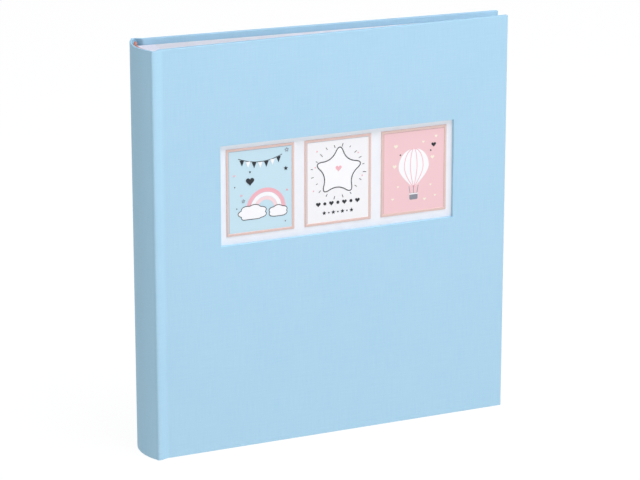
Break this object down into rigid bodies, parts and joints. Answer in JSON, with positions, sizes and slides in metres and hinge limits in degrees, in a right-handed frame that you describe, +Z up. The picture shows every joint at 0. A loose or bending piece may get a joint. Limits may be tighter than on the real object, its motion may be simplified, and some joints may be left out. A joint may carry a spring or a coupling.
{
  "type": "scrapbook album",
  "caption": "Book-bound scrapbook album with a rounded spine, a die-cut window with picture cards in its front cover, and card leaves that fan open.",
  "frame": {"origin": "on the ground under the middle of the closed album standing upright on its tail edge", "axes": "+Z up towards the head of the album, the front cover faces -Y, the spine is at -X and the fore-edge at +X"},
  "size_m": [0.3018, 0.048, 0.32],
  "materials": {
    "cover_cloth": "matt linen book cloth, pale blue",
    "greyboard": "raw grey binder's board",
    "endpaper": "smooth uncoated paper",
    "page_card": "smooth white album card",
    "mull_gauze": "open starched cotton gauze",
    "kraft": "brown kraft paper",
    "band_silk": "coral and white woven band",
    "thread": "waxed linen thread",
    "mat_card": "matt white mounting card",
    "print_left": "coated picture card, pale blue motif",
    "print_middle": "coated picture card, white motif",
    "print_right": "coated picture card, pink motif",
    "glassine": "translucent glassine interleaf",
    "foil_frame": "peach metallic frame line"
  },
  "bodies": {
    "text_block": {"spine_cloth": "cover_cloth", "spine_board": "greyboard", "spine_lining": "kraft", "mull": "mull_gauze", "headband": "band_silk", "tailband": "band_silk", "sewing_threads": "thread", "leaf_guards": "page_card", "bound_leaf_edges": "page_card"},
    "front_cover": {"front_cover_cloth": "cover_cloth", "front_board": "greyboard", "front_liner_board": "greyboard", "front_pastedown": "endpaper", "window_mat": "mat_card", "picture_card_left": "print_left", "picture_card_middle": "print_middle", "picture_card_right": "print_right"},
    "rear_cover": {"rear_cover_cloth": "cover_cloth", "rear_board": "greyboard", "rear_pastedown": "endpaper"},
    "front_flyleaf": {"front_flyleaf": "endpaper"},
    "rear_flyleaf": {"rear_flyleaf": "endpaper"},
    "leaf_01": {"leaf_01": "page_card"},
    "leaf_02": {"leaf_02": "page_card"},
    "leaf_03": {"leaf_03": "page_card"},
    "leaf_04": {"leaf_04": "page_card"},
    "leaf_05": {"leaf_05": "page_card"},
    "leaf_06": {"leaf_06": "page_card"},
    "leaf_07": {"leaf_07": "page_card"},
    "leaf_08": {"leaf_08": "page_card"},
    "leaf_09": {"leaf_09": "page_card"},
    "leaf_10": {"leaf_10": "page_card"},
    "leaf_11": {"leaf_11": "page_card"},
    "leaf_12": {"leaf_12": "page_card"},
    "leaf_13": {"leaf_13": "page_card"},
    "leaf_14": {"leaf_14": "page_card"},
    "leaf_15": {"leaf_15": "page_card"},
    "leaf_16": {"leaf_16": "page_card"},
    "leaf_17": {"leaf_17": "page_card"},
    "leaf_18": {"leaf_18": "page_card"},
    "leaf_19": {"leaf_19": "page_card"},
    "leaf_20": {"leaf_20": "page_card"},
    "leaf_21": {"leaf_21": "page_card"},
    "leaf_22": {"leaf_22": "page_card"},
    "leaf_23": {"leaf_23": "page_card"},
    "leaf_24": {"leaf_24": "page_card"},
    "leaf_25": {"leaf_25": "page_card"},
    "leaf_26": {"leaf_26": "page_card"},
    "leaf_27": {"leaf_27": "page_card"},
    "leaf_28": {"leaf_28": "page_card"},
    "leaf_29": {"leaf_29": "page_card"},
    "leaf_30": {"leaf_30": "page_card"}
  },
  "joints": [
    {"name": "front_cover_hinge", "type": "hinge", "parent": "text_block", "child": "front_cover", "pos_m": [-0.13619, -0.0239, 0.16], "axis": [0, 0, -1], "range_deg": [0, 178]},
    {"name": "rear_cover_hinge", "type": "hinge", "parent": "text_block", "child": "rear_cover", "pos_m": [-0.13619, 0.0239, 0.16], "axis": [0, 0, 1], "range_deg": [0, 178]},
    {"name": "front_flyleaf_turn", "type": "hinge", "parent": "text_block", "child": "front_flyleaf", "pos_m": [-0.11726, -0.02292, 0.16], "axis": [0, 0, -1], "range_deg": [0, 180]},
    {"name": "leaf_01_turn", "type": "hinge", "parent": "text_block", "child": "leaf_01", "pos_m": [-0.11607, -0.02223, 0.16], "axis": [0, 0, -1], "range_deg": [0, 180]},
    {"name": "leaf_02_turn", "type": "hinge", "parent": "text_block", "child": "leaf_02", "pos_m": [-0.11499, -0.02143, 0.16], "axis": [0, 0, -1], "range_deg": [0, 180]},
    {"name": "leaf_03_turn", "type": "hinge", "parent": "text_block", "child": "leaf_03", "pos_m": [-0.11402, -0.02055, 0.16], "axis": [0, 0, -1], "range_deg": [0, 180]},
    {"name": "leaf_04_turn", "type": "hinge", "parent": "text_block", "child": "leaf_04", "pos_m": [-0.11315, -0.01959, 0.16], "axis": [0, 0, -1], "range_deg": [0, 180]},
    {"name": "leaf_05_turn", "type": "hinge", "parent": "text_block", "child": "leaf_05", "pos_m": [-0.11239, -0.01855, 0.16], "axis": [0, 0, -1], "range_deg": [0, 180]},
    {"name": "leaf_06_turn", "type": "hinge", "parent": "text_block", "child": "leaf_06", "pos_m": [-0.11174, -0.01744, 0.16], "axis": [0, 0, -1], "range_deg": [0, 180]},
    {"name": "leaf_07_turn", "type": "hinge", "parent": "text_block", "child": "leaf_07", "pos_m": [-0.11119, -0.01628, 0.16], "axis": [0, 0, -1], "range_deg": [0, 180]},
    {"name": "leaf_08_turn", "type": "hinge", "parent": "text_block", "child": "leaf_08", "pos_m": [-0.11075, -0.01506, 0.16], "axis": [0, 0, -1], "range_deg": [0, 180]},
    {"name": "leaf_09_turn", "type": "hinge", "parent": "text_block", "child": "leaf_09", "pos_m": [-0.11041, -0.0138, 0.16], "axis": [0, 0, -1], "range_deg": [0, 180]},
    {"name": "leaf_10_turn", "type": "hinge", "parent": "text_block", "child": "leaf_10", "pos_m": [-0.11017, -0.01249, 0.16], "axis": [0, 0, -1], "range_deg": [0, 180]},
    {"name": "leaf_11_turn", "type": "hinge", "parent": "text_block", "child": "leaf_11", "pos_m": [-0.11004, -0.01115, 0.16], "axis": [0, 0, -1], "range_deg": [0, 180]},
    {"name": "leaf_12_turn", "type": "hinge", "parent": "text_block", "child": "leaf_12", "pos_m": [-0.11001, -0.00978, 0.16], "axis": [0, 0, -1], "range_deg": [0, 180]},
    {"name": "leaf_13_turn", "type": "hinge", "parent": "text_block", "child": "leaf_13", "pos_m": [-0.11008, -0.00838, 0.16], "axis": [0, 0, -1], "range_deg": [0, 180]},
    {"name": "leaf_14_turn", "type": "hinge", "parent": "text_block", "child": "leaf_14", "pos_m": [-0.11025, -0.00696, 0.16], "axis": [0, 0, -1], "range_deg": [0, 180]},
    {"name": "leaf_15_turn", "type": "hinge", "parent": "text_block", "child": "leaf_15", "pos_m": [-0.11053, -0.00552, 0.16], "axis": [0, 0, -1], "range_deg": [0, 180]},
    {"name": "leaf_16_turn", "type": "hinge", "parent": "text_block", "child": "leaf_16", "pos_m": [-0.11091, -0.00407, 0.16], "axis": [0, 0, -1], "range_deg": [0, 180]},
    {"name": "leaf_17_turn", "type": "hinge", "parent": "text_block", "child": "leaf_17", "pos_m": [-0.11139, -0.00262, 0.16], "axis": [0, 0, -1], "range_deg": [0, 180]},
    {"name": "leaf_18_turn", "type": "hinge", "parent": "text_block", "child": "leaf_18", "pos_m": [-0.11197, -0.00116, 0.16], "axis": [0, 0, -1], "range_deg": [0, 180]},
    {"name": "leaf_19_turn", "type": "hinge", "parent": "text_block", "child": "leaf_19", "pos_m": [-0.11265, 0.0003, 0.16], "axis": [0, 0, -1], "range_deg": [0, 180]},
    {"name": "leaf_20_turn", "type": "hinge", "parent": "text_block", "child": "leaf_20", "pos_m": [-0.11344, 0.00176, 0.16], "axis": [0, 0, -1], "range_deg": [0, 180]},
    {"name": "leaf_21_turn", "type": "hinge", "parent": "text_block", "child": "leaf_21", "pos_m": [-0.11433, 0.00321, 0.16], "axis": [0, 0, -1], "range_deg": [0, 180]},
    {"name": "leaf_22_turn", "type": "hinge", "parent": "text_block", "child": "leaf_22", "pos_m": [-0.11532, 0.00465, 0.16], "axis": [0, 0, -1], "range_deg": [0, 180]},
    {"name": "leaf_23_turn", "type": "hinge", "parent": "text_block", "child": "leaf_23", "pos_m": [-0.11641, 0.00607, 0.16], "axis": [0, 0, -1], "range_deg": [0, 180]},
    {"name": "leaf_24_turn", "type": "hinge", "parent": "text_block", "child": "leaf_24", "pos_m": [-0.11761, 0.00747, 0.16], "axis": [0, 0, -1], "range_deg": [0, 180]},
    {"name": "leaf_25_turn", "type": "hinge", "parent": "text_block", "child": "leaf_25", "pos_m": [-0.11891, 0.00885, 0.16], "axis": [0, 0, -1], "range_deg": [0, 180]},
    {"name": "leaf_26_turn", "type": "hinge", "parent": "text_block", "child": "leaf_26", "pos_m": [-0.12031, 0.0102, 0.16], "axis": [0, 0, -1], "range_deg": [0, 180]},
    {"name": "leaf_27_turn", "type": "hinge", "parent": "text_block", "child": "leaf_27", "pos_m": [-0.12182, 0.01153, 0.16], "axis": [0, 0, -1], "range_deg": [0, 180]},
    {"name": "leaf_28_turn", "type": "hinge", "parent": "text_block", "child": "leaf_28", "pos_m": [-0.12343, 0.01281, 0.16], "axis": [0, 0, -1], "range_deg": [0, 180]},
    {"name": "leaf_29_turn", "type": "hinge", "parent": "text_block", "child": "leaf_29", "pos_m": [-0.12514, 0.01406, 0.16], "axis": [0, 0, -1], "range_deg": [0, 180]},
    {"name": "leaf_30_turn", "type": "hinge", "parent": "text_block", "child": "leaf_30", "pos_m": [-0.12696, 0.01526, 0.16], "axis": [0, 0, -1], "range_deg": [0, 180]},
    {"name": "rear_flyleaf_turn", "type": "hinge", "parent": "text_block", "child": "rear_flyleaf", "pos_m": [-0.12301, 0.01802, 0.16], "axis": [0, 0, 1], "range_deg": [0, 180]}
  ],
  "couplings": [
    {"joint": "front_flyleaf_turn", "follows": "front_cover_hinge", "ratio": 0.96875},
    {"joint": "leaf_01_turn", "follows": "front_cover_hinge", "ratio": 0.9375},
    {"joint": "leaf_02_turn", "follows": "front_cover_hinge", "ratio": 0.90625},
    {"joint": "leaf_03_turn", "follows": "front_cover_hinge", "ratio": 0.875},
    {"joint": "leaf_04_turn", "follows": "front_cover_hinge", "ratio": 0.84375},
    {"joint": "leaf_05_turn", "follows": "front_cover_hinge", "ratio": 0.8125},
    {"joint": "leaf_06_turn", "follows": "front_cover_hinge", "ratio": 0.78125},
    {"joint": "leaf_07_turn", "follows": "front_cover_hinge", "ratio": 0.75},
    {"joint": "leaf_08_turn", "follows": "front_cover_hinge", "ratio": 0.71875},
    {"joint": "leaf_09_turn", "follows": "front_cover_hinge", "ratio": 0.6875},
    {"joint": "leaf_10_turn", "follows": "front_cover_hinge", "ratio": 0.65625},
    {"joint": "leaf_11_turn", "follows": "front_cover_hinge", "ratio": 0.625},
    {"joint": "leaf_12_turn", "follows": "front_cover_hinge", "ratio": 0.59375},
    {"joint": "leaf_13_turn", "follows": "front_cover_hinge", "ratio": 0.5625},
    {"joint": "leaf_14_turn", "follows": "front_cover_hinge", "ratio": 0.53125},
    {"joint": "leaf_15_turn", "follows": "front_cover_hinge", "ratio": 0.5},
    {"joint": "leaf_16_turn", "follows": "front_cover_hinge", "ratio": 0.46875},
    {"joint": "leaf_17_turn", "follows": "front_cover_hinge", "ratio": 0.4375},
    {"joint": "leaf_18_turn", "follows": "front_cover_hinge", "ratio": 0.40625},
    {"joint": "leaf_19_turn", "follows": "front_cover_hinge", "ratio": 0.375},
    {"joint": "leaf_20_turn", "follows": "front_cover_hinge", "ratio": 0.34375},
    {"joint": "leaf_21_turn", "follows": "front_cover_hinge", "ratio": 0.3125},
    {"joint": "leaf_22_turn", "follows": "front_cover_hinge", "ratio": 0.28125},
    {"joint": "leaf_23_turn", "follows": "front_cover_hinge", "ratio": 0.25},
    {"joint": "leaf_24_turn", "follows": "front_cover_hinge", "ratio": 0.21875},
    {"joint": "leaf_25_turn", "follows": "front_cover_hinge", "ratio": 0.1875},
    {"joint": "leaf_26_turn", "follows": "front_cover_hinge", "ratio": 0.15625},
    {"joint": "leaf_27_turn", "follows": "front_cover_hinge", "ratio": 0.125},
    {"joint": "leaf_28_turn", "follows": "front_cover_hinge", "ratio": 0.09375},
    {"joint": "leaf_29_turn", "follows": "front_cover_hinge", "ratio": 0.0625},
    {"joint": "leaf_30_turn", "follows": "front_cover_hinge", "ratio": 0.03125},
    {"joint": "rear_flyleaf_turn", "follows": "rear_cover_hinge", "ratio": 0.5}
  ]
}
